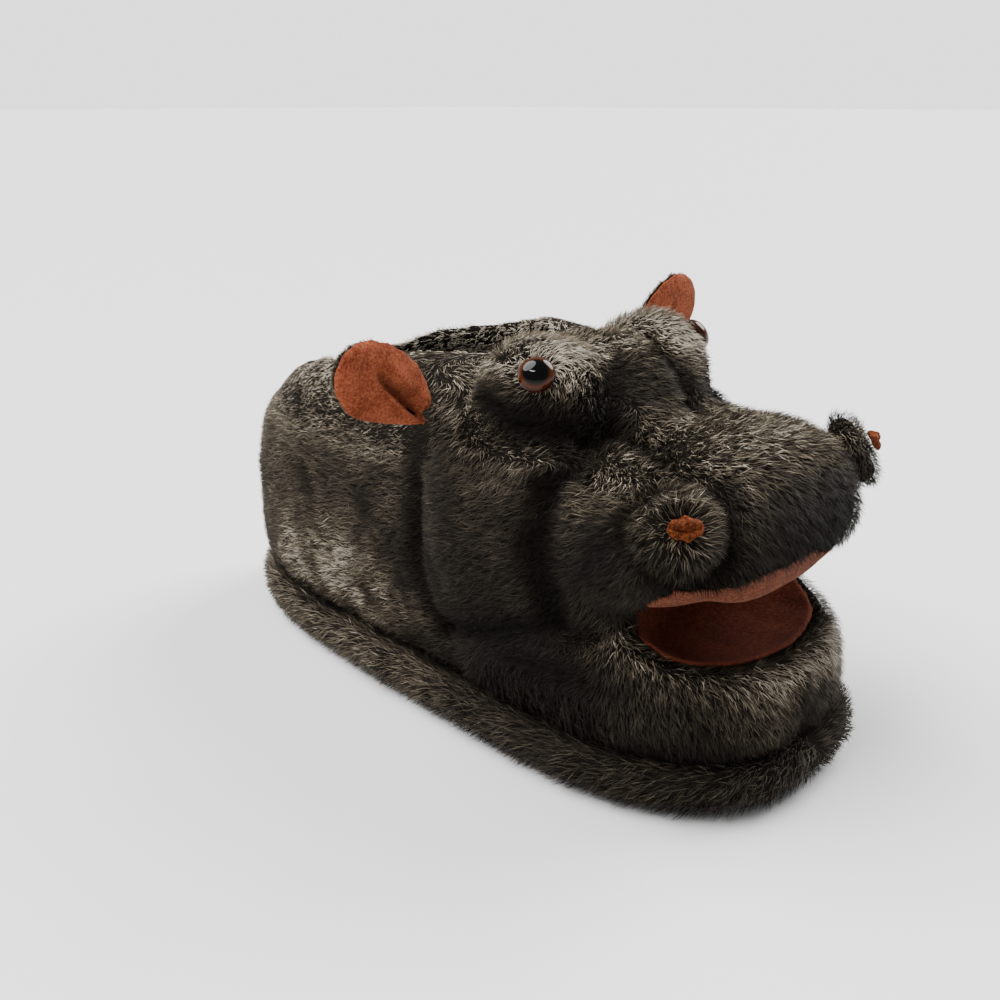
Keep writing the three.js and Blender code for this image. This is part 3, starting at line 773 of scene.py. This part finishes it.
def growUpper(upper, foldsAndPaintedShade, trims, blockers, material):
    random = np.random.default_rng(11)
    points, normals, _ = arraysOf(upper)
    clear = openness(upper, blockers)
    bare = ease(distanceTo(upper, trims), 0.3, 1.6)
    under = ease(points[:, 2] / mm, 17, 20)
    outside = np.maximum(ease(clear, -0.012, 0.08), 0.8 * ease(foldsAndPaintedShade, 0.05, 0.2))
    full = outside * bare * under * (1 - lipShare(points, normals))
    count = hairCount(pile["upperHairs"])
    # painted shade from openness and creases, with painted light on the collar's inside
    collar = ease(points[:, 2] / mm, 90, 108) * ease(points[:, 1] / mm, -24, -12)
    seen = np.maximum(clear * (1 - foldsAndPaintedShade), 0.8 * collar)      # painted light: the collar's inside is kept light against its shadow
    roots, facing, weight, lit = scatter(upper, count, full + 0.001, seen, random)
    length = pile["length"] * mm * (0.6 + 0.4 * weight) * random.uniform(0.7, 1.15, count)
    length *= drape(roots)
    stand = pileStand(roots, facing)
    base, middle, tip, owner = growHairs(roots, facing, pileFlow(roots, facing), stand, length, random)
    shade = hairShade(roots, owner, lit, random) * paintedNapLight(roots, facing)
    y, z = roots[:, 1] / mm, roots[:, 2] / mm
    muzzle, cheek = y < slipper["muzzleBack"], y < slipper["cheekBack"]
    panel = np.where(z < slipper["mouthLine"] - 16, 3, np.where(muzzle, 2, np.where(cheek, 1, 0)))
    for index, name in enumerate(("fur_heel", "fur_cheeks", "fur_muzzle", "fur_jaw")):
        chosen = np.flatnonzero(panel == index)
        for part, some in enumerate(np.array_split(chosen, len(chosen) // pile["pieceHairs"] + 1)):
            title = f"{name}_{part + 1}"
            furMesh(title, base[some], middle[some], tip[some], facing[some], shade[some], material, random)


# Shade of each hair, dark to light: its lock, its own lightness, and painted shade by how open its place is
def hairShade(roots, owner, lit, random):
    count = len(roots)
    lock = random.uniform(0, 1, count)[owner]
    own = random.beta(1.7, 2.8, count)
    mottled = 0.5 + 0.5 * waves(roots, 14, 5.0)
    # painted shade: hairs in closed-in and creased places darker
    return 0.89 * (0.12 * lock + 0.86 * own + 0.06 * mottled) * (0.10 + 1.05 * ease(lit, 0.02, 0.55))


# Painted light and shade on the pile: lighter on the heel and the tops, and patches of it listed in mm on the
# left side
paintedLightPatches = [
    {"at": (33, -50, 152), "reach": (26, 30, 16), "paintedLight": 3.0},       # brow
    {"at": (12, -78, 141), "reach": (17, 17, 13), "paintedLight": 0.35},      # forehead
    {"at": (53, -60, 130), "reach": (12, 18, 9), "paintedLight": 0.3},        # under the eye
    {"at": (54, -26, 124), "reach": (10, 12, 12), "paintedLight": 1.3},       # behind the eye
    {"at": (57, 50, 38), "reach": (20, 66, 22), "paintedLight": 2.6},         # low on the heel
    {"at": (14, -150, 108), "reach": (34, 18, 20), "paintedLight": 0.3},      # between the nostrils
    {"at": (8, -122, 128), "reach": (30, 26, 9), "paintedLight": 1.3},        # top of the muzzle
    {"at": (64, -74, 46), "reach": (30, 34, 14), "paintedLight": 0.05},       # under the cheek
    {"at": (14, -150, 36), "reach": (26, 14, 18), "paintedLight": 2.1},       # front of the jaw
    {"at": (66, -50, 82), "reach": (16, 26, 24), "paintedLight": 1.3},        # cheek
    {"at": (30, 46, 126), "reach": (24, 52, 10), "paintedLight": 2.1},        # collar
    {"at": (57, -9, 110), "reach": (8, 5, 14), "paintedLight": 0.3},          # under the ear
    {"at": (62, -100, 100), "reach": (14, 14, 16), "paintedLight": 0.85},     # side of the muzzle
]


def paintedNapLight(points, normals):
    folded = foldedOver(points)
    # painted light: tops lighter, and the heel's side lighter than the head's
    top = ease(normals[:, 2], 0.1, 0.75)
    side = 1.1 - 0.5 * ease(-folded[:, 1], -4, 8)
    paintedLight = side * (1 - top) + 1.25 * top
    for row in paintedLightPatches:
        away = ((folded - np.array(row["at"])) / np.array(row["reach"])) ** 2
        paintedLight *= 1 + (row["paintedLight"] - 1) * np.exp(-away.sum(1) ** 1.5)
    # painted light: the collar's inner wall lighter, against its shadow
    inside = ease(-normals[:, 0] * np.sign(points[:, 0]), 0.0, 0.4) * ease(folded[:, 2], 88, 102)
    paintedLight *= 1 + 3.5 * inside * ease(folded[:, 1], -24, -12)
    # painted shade in the groove round each nostril mound
    mound = np.linalg.norm(folded - np.array(slipper["nostril"]), axis=1)
    return paintedLight * (1 - 0.5 * np.exp(-((mound - nostrilForm["ring"]) / 3.5) ** 2))


# Band's hairs, splayed out and kept above the ground low down
def growBand(band, blockers, material):
    random = np.random.default_rng(12)
    points, _, _ = arraysOf(band)
    clear = openness(band, blockers)
    full = ease(clear, -0.02, 0.08) * ease(points[:, 2] / mm, 0.0, 1.2)
    count = hairCount(pile["bandHairs"])
    roots, facing, weight, lit = scatter(band, count, full + 0.0005, clear, random)
    length = pile["bandLength"] * mm * (0.5 + 0.5 * weight) * random.uniform(0.7, 1.15, count)
    stand = np.full(count, 0.25)
    base, middle, tip, owner = growHairs(roots, facing, bandFlow(roots, facing), stand, length, random)
    low = 1 - ease(roots[:, 2] / mm, 2, 9)
    splay = low * length * 0.3 * (1 - ease(roots[:, 1] / mm, 20, 90))
    tip += unit(facing * np.array([1, 1, 0]) + 1e-6) * splay[:, None]
    tip[:, 2] = np.maximum(tip[:, 2] - low * 2.5 * mm, 0.4 * mm)
    middle[:, 2] = np.maximum(middle[:, 2], 0.6 * mm)
    # painted light and shade: the band's hairs lighter at the heel and darker towards the toe, with painted
    # shade by openness
    shade = hairShade(roots, owner, lit, random) * (1.12 - 0.5 * ease(-roots[:, 1] / mm, -20, 70))
    furMesh("fur_band", base, middle, tip, facing, shade, material, random)


# Ear backs carry the same pile, combed towards the ear's tip
earFur = {"hairs": 8000, "length": 4.0}


def growEar(ear, name, side, material):
    random = np.random.default_rng(20 + side)
    points, normals, _ = arraysOf(ear)
    front = np.array(slipper["earFront"]) * np.array([side, 1, 1])
    behind = ease(-(normals @ front), -0.45, 0.1)
    count = hairCount(earFur["hairs"])
    roots, facing, weight, _ = scatter(ear, count, behind + 0.001, behind, random)
    axis = np.array(slipper["earAxis"]) * np.array([side, 1, 1])
    flow = np.tile(axis, (count, 1)) - 0.5 * front
    length = earFur["length"] * mm * (0.5 + 0.5 * weight) * random.uniform(0.7, 1.1, count)
    base, middle, tip, owner = growHairs(roots, facing, flow, np.full(count, 0.1), length, random)
    # painted light: the ear backs' hairs a third lighter, with a fixed share of 0.6
    shade = hairShade(roots, owner, np.full(count, 0.6), random) * 1.3
    furMesh(f"fur_ear_{name}", base, middle, tip, facing, shade, material, random)


# Eyes: a domed button with a brown iris and a black pupil, in mm, "pupil" being a share of the radius
eyeLook = {"radius": 6.8, "dome": 4.8, "seat": 0.4, "pupil": 0.62, "sides": 48, "rings": 10}


def eyeFinish():
    finish = Finish("eye_plastic", Roughness=0.05, IOR=1.2,
                    Coat_Weight=0.3, Coat_Roughness=0.02, Coat_IOR=1.25)
    parts = [finish.node("ShaderNodeSeparateXYZ", None, {0: finish.place()}, out=k) for k in range(3)]
    parts[0] = finish.node("ShaderNodeMath", {"operation": "ABSOLUTE"}, {0: parts[0]})
    centre, axis = Vector(slipper["eye"]) * mm, Vector(slipper["eyeOut"]).normalized()
    offset = [parts[k] - centre[k] for k in range(3)]
    height = offset[0] * axis[0] + offset[1] * axis[1] + offset[2] * axis[2]
    square = offset[0] * offset[0] + offset[1] * offset[1] + offset[2] * offset[2] - height * height
    radius = (square ** 0.5) / (eyeLook["radius"] * mm)
    black, brown, amber = (0.0006, 0.0006, 0.0007), (0.014, 0.0030, 0.0007), (0.048, 0.0105, 0.0018)
    rim = (0.02, 0.006, 0.003)
    edge = eyeLook["pupil"]
    stops = [(0.0, black), (edge, black), (edge + 0.06, brown), (0.8, amber), (0.93, brown), (1.0, rim)]
    finish.drive(Base_Color=finish.ramp(radius, stops))
    return finish.material


def makeEye(side, name, material):
    outward = Vector(slipper["eyeOut"]).normalized()
    outward.x *= side
    centre = Vector(slipper["eye"]) * mm
    centre.x *= side
    radius, dome, rings = eyeLook["radius"] * mm, eyeLook["dome"] * mm, eyeLook["rings"]
    deselectAll()
    bpy.ops.mesh.primitive_circle_add(vertices=eyeLook["sides"], radius=radius, fill_type="NGON")
    eye = bpy.context.object
    eye.name = f"eye_button_{name}"
    bpy.ops.object.mode_set(mode="EDIT")
    bpy.ops.mesh.select_all(action="SELECT")
    for ring in range(rings):
        low, high = (math.pi / 2 * step / rings for step in (ring, ring + 0.999))
        rise = dome * (math.sin(high) - math.sin(low))
        narrow = math.cos(high) / math.cos(low)
        bpy.ops.mesh.extrude_region_move(TRANSFORM_OT_translate={"value": (0, 0, rise)})
        bpy.ops.transform.resize(value=(narrow, narrow, 1))
    bpy.ops.object.mode_set(mode="OBJECT")
    applyModifier(eye, "SUBSURF", levels=1, render_levels=1)
    eye.location = centre + outward * eyeLook["seat"] * mm
    eye.rotation_euler = outward.to_track_quat("Z", "Y").to_euler()
    activate(eye)
    bpy.ops.object.transform_apply(location=True, rotation=True, scale=True)
    bpy.ops.object.shade_smooth()
    finishPiece(eye, "eye_plastic", material, f"eye_{name}")
    return eye


# Ear: its outline from the root round, and the fold that runs down to the root, as (along, across) in mm
earForm = {
    "centre": (24, -1.5), "fold": [(35, 2.2), (23.2, -0.7), (14.3, -2.2), (4, -3.8)],
    "outline": [(-5, 0.5), (-3, 4.5), (7.5, 8.6), (16.2, 12.1), (24.8, 13.1), (33.2, 12.5), (40.9, 9.8),
                (45.8, 5.5), (48.2, 0.6), (48.4, -5.1), (46.4, -9.8), (43.2, -13.2), (38, -15.8),
                (31.3, -16.6), (21.1, -13.5), (9.9, -9.8), (-1.1, -6.6), (-4.5, -5)],
    "wide": 1.2, "deep": 4.2, "roll": 2.6, "cup": 1.6, "bury": 7.0,
    "grow": {1: 1.14, -1: 1.0}, "backGrow": {1: 0.99, -1: 0.94}, "slices": 40,
}


# Along, beside and in front of an ear, from its root
def earAxes(side):
    mirror = np.array([side, 1, 1])
    axis = unit(np.array([slipper["earAxis"]]))[0] * mirror
    front = np.array(slipper["earFront"]) * mirror
    front = unit(np.array([front - axis * (front @ axis)]))[0]
    return np.array(slipper["earRoot"]) * mirror, axis, np.cross(front, axis) * side, front


# The ear's flat outline drawn out to the teardrop, measured from its middle in many directions
def shapeEar(piece, side, grow):
    root, axis, beside, front = earAxes(side)
    points, _, _ = arraysOf(piece)
    offset = points / mm - root
    along, across = offset @ axis - earForm["centre"][0], offset @ beside - earForm["centre"][1]
    angle, radius = np.arctan2(across, along), np.hypot(along, across)
    slices = earForm["slices"]
    part = ((angle / (2 * math.pi) + 0.5) * slices).astype(int) % slices
    reach = np.array([radius[part == k].max(initial=1.0) for k in range(slices)])
    reach = (np.roll(reach, 1) + 2 * reach + np.roll(reach, -1)) / 4
    middles = (np.arange(slices) + 0.5) / slices * 2 * math.pi - math.pi
    rim = np.array(earForm["outline"]) - np.array(earForm["centre"])
    dense = np.concatenate([rim + (np.roll(rim, -1, 0) - rim) * t for t in (0, 0.25, 0.5, 0.75)])
    turns, wanted = np.arctan2(dense[:, 1], dense[:, 0]), np.hypot(dense[:, 0], dense[:, 1])
    order = np.argsort(turns)
    target = np.interp(angle, turns[order], wanted[order], period=2 * math.pi) * grow
    factor = target / np.interp(angle, middles, reach, period=2 * math.pi) - 1
    shift = (along * factor)[:, None] * axis + (across * factor)[:, None] * beside
    buried = ease(5 - along - earForm["centre"][0] - along * factor, 0, 7)
    shift -= front * (earForm["bury"] * buried)[:, None]
    setPoints(piece, points + shift * mm)


# The fold down the ear, with a rolled edge before it and a shallow cup behind
def foldEar(piece, side):
    root, axis, beside, front = earAxes(side)
    points, normals, _ = arraysOf(piece)
    offset = points / mm - root
    along, across = offset @ axis, offset @ beside
    line = earForm["fold"][::-1]
    away = across - np.interp(along, [a for a, _ in line], [b for _, b in line])
    reach = ease(along, -2, 6) * (1 - ease(along, 22, 37)) * ease(normals @ front, 0.2, 0.6)
    slit = 1 + 0.9 * ease(along, 18, 32)
    lift = -earForm["deep"] * np.exp(-(away / (earForm["wide"] * slit)) ** 2)
    roll = earForm["roll"] * np.exp(-((away - 4.6) / 2.8) ** 2)
    lift += roll + earForm["cup"] * np.exp(-((away + 3.4) / 2.2) ** 2)
    setPoints(piece, points + front * (lift * reach)[:, None] * mm)


# Nostril patch: set down in its ring, gathered by an upright pucker and a slit below
def puckerPatch(piece, side):
    mirror = np.array([side, 1, 1])
    outward = unit(np.array([slipper["nostrilOut"]]))[0] * mirror
    level = unit(np.cross(np.array([[0, 0, 1.0]]), outward))[0]
    up = np.cross(outward, level)
    points, normals, _ = arraysOf(piece)
    offset = points / mm - np.array(slipper["nostril"]) * mirror
    along, high = offset @ level, offset @ up
    slit = np.exp(-((high + 1.2 - 0.06 * along ** 2) / 0.7) ** 2) * np.exp(-(along / 4.5) ** 4)
    gather = np.exp(-((along + 0.25 * high) / 0.6) ** 2) * ease(high, -1, 1)
    swollen = 1.2 * np.exp(-((high - 1.2) / 1.6) ** 2) * np.exp(-(along / 4) ** 2)
    lift = (swollen - 1.7 * slit - 0.9 * gather) * ease(normals @ outward, 0.1, 0.5)
    lift -= nostrilForm["patchSunk"] - (nostrilForm["leftRaised"] if side > 0 else 0)
    pinch = high * (0.92 - 0.16 * (along / 6.5) ** 2 + 0.1 * np.sin(along * 1.3 + 1)) - 0.6 - high
    setPoints(piece, points + (outward * lift[:, None] + pinch[:, None] * up) * mm)


# The palate's front edge drawn in behind the lip
def formPalate(piece):
    points, _, _ = arraysOf(piece)
    y = points[:, 1] / mm
    front = ease(-y, 88, 104)
    points[:, 0] *= 1 + (lipForm["inward"] - 1) * front
    points[:, 2] += 2.2 * mm * front - muzzleFront["sag"] * mm * ease(-y, 122, 150)
    points[:, 1] = np.maximum(y, lipForm["back"] + 0.3 * (y - lipForm["back"])) * mm
    setPoints(piece, points)


# Velvet, felt and fleece pieces, smoothed from their nodes: voxel size and rounds of smoothing
liningLook = {
    "mouth": (1.0 * mm, 6), "palate": (1.0 * mm, 6), "earFront": (0.7 * mm, 8), "earBack": (0.9 * mm, 6),
    "nostril": (0.5 * mm, 3), "insole": (2.0 * mm, 6),
}


def makeLining(node, name, slot, material, kind):
    piece = copyOfNode(node, name)
    softened(piece, *liningLook[kind])
    finishPiece(piece, slot, material, node)
    return piece


def makeFloor():
    deselectAll()
    bpy.ops.mesh.primitive_plane_add(size=studio["floorSize"], location=(0, 0, 0))
    floor = bpy.context.object
    floor.name = "floor"
    finish = Finish("floor_paper", Roughness=0.9)
    finish.drive(Base_Color=(*studio["floorColour"], 1))
    floor.data.materials.append(finish.material)


# White air at the horizon and dimmer above, two soft suns and a softbox over the face
def setUpStudio():
    world = bpy.data.worlds.new("studio")
    bpy.context.scene.world = world
    world.use_nodes = True
    tree = world.node_tree
    direction = tree.nodes.new("ShaderNodeTexCoord")
    height = tree.nodes.new("ShaderNodeSeparateXYZ")
    strength = tree.nodes.new("ShaderNodeMapRange")
    strength.inputs["From Min"].default_value = studio["horizonBand"][0]
    strength.inputs["From Max"].default_value = studio["horizonBand"][1]
    strength.inputs["To Min"].default_value = studio["horizonStrength"]
    strength.inputs["To Max"].default_value = studio["airStrength"]
    tree.links.new(direction.outputs["Generated"], height.inputs[0])
    tree.links.new(height.outputs["Z"], strength.inputs["Value"])
    tree.links.new(strength.outputs[0], tree.nodes["Background"].inputs["Strength"])
    tree.nodes["Background"].inputs["Color"].default_value = (1, 1, 1, 1)
    addSun("back_sun", studio["backSun"])
    addSun("right_sun", studio["rightSun"])
    addSoftbox("face_softbox", studio["faceSoftbox"])


setUpCamera()
setUpStudio()
makeFloor()
print("studio done")

# Fur colours by shade; the lightest stop is reached mostly where painted light lifts a hair's shade
furLook = {
    "roughness": 0.55, "gloss": 0.06, "rootReach": 0.8, "root": (0.0042, 0.0033, 0.0024),
    "tips": [(0.0, (0.003, 0.0024, 0.0018)), (0.25, (0.031, 0.0246, 0.0172)),
             (0.54, (0.110, 0.089, 0.061)), (0.82, (0.26, 0.216, 0.155)), (1.0, (0.56, 0.49, 0.39))],
}
plush = plushFinish()
fur = hairFinish("plush_pile", furLook)
rust = velvetFinish("rust_velvet", {
    "roughness": 0.9, "sheen": 0.12, "sheenTint": (0.95, 0.45, 0.2), "nap": 1100, "brushed": 120,
    "dark": (0.085, 0.0150, 0.0060), "middle": (0.180, 0.0380, 0.0160), "light": (0.300, 0.0760, 0.0360),
    "depth": 0.0012, "strength": 1.0,
})
nostrilVelvet = velvetFinish("nostril_velvet", {
    "roughness": 0.9, "sheen": 0.05, "sheenTint": (0.95, 0.45, 0.2), "nap": 1100, "brushed": 260,
    "dark": (0.022, 0.0040, 0.0010), "middle": (0.075, 0.0150, 0.0035), "light": (0.180, 0.0430, 0.0100),
    "depth": 0.0012, "strength": 1.0,
})
lipVelvet = velvetFinish("lip_velvet", {
    "roughness": 0.9, "sheen": 0.05, "sheenTint": (0.8, 0.5, 0.4), "nap": 900, "brushed": 90,
    "dark": (0.050, 0.0125, 0.0055), "middle": (0.092, 0.0260, 0.0120), "light": (0.140, 0.0450, 0.0220),
    "depth": 0.0012, "strength": 1.0,
})
felt = velvetFinish("red_brown_felt", {
    "roughness": 0.95, "sheen": 0.0, "sheenTint": (0.7, 0.35, 0.25), "nap": 700, "brushed": 60,
    "dark": (0.048, 0.0095, 0.0040), "middle": (0.070, 0.0150, 0.0065), "light": (0.098, 0.0230, 0.0105),
    "depth": 0.0006, "strength": 0.6,
})

upper, foldsAndPaintedShade = makeUpper(plush)
band = makeBand(plush)
eyeMaterial = eyeFinish()
trims = [makeEye(1, "left", eyeMaterial), makeEye(-1, "right", eyeMaterial)]
trims.append(makeLining("mouth_lining", "mouth_felt", "felt", felt, "mouth"))
palate = makeLining("palate_lining", "palate_velvet", "velvet", lipVelvet, "palate")
formPalate(palate)
trims.append(palate)
makeLip(upper, lipVelvet)
for side, sideName in ((1, "left"), (-1, "right")):
    earFront = makeLining(f"ear_lining_{sideName}", f"ear_velvet_{sideName}", "velvet", rust, "earFront")
    shapeEar(earFront, side, earForm["grow"][side])
    foldEar(earFront, side)
    earBack = makeLining(f"ear_back_{sideName}", f"ear_plush_{sideName}", "plush", plush, "earBack")
    shapeEar(earBack, side, earForm["grow"][side] * earForm["backGrow"][side])
    growEar(earBack, sideName, side, fur)
    patchName = f"nostril_velvet_{sideName}"
    patch = makeLining(f"nostril_{sideName}", patchName, "velvet", nostrilVelvet, "nostril")
    puckerPatch(patch, side)
    trims.append(patch)
insole = makeLining("insole", "insole_fleece", "fleece", fleeceFinish(), "insole")
nodes["outsole"].data.materials.clear()
nodes["outsole"].data.materials.append(gripFinish())
print("pieces done")

growUpper(upper, foldsAndPaintedShade, trims, [nodes["insole"], nodes["sole_band"]], fur)
growBand(band, [nodes["upper"], nodes["outsole"]], fur)
print("pile done")
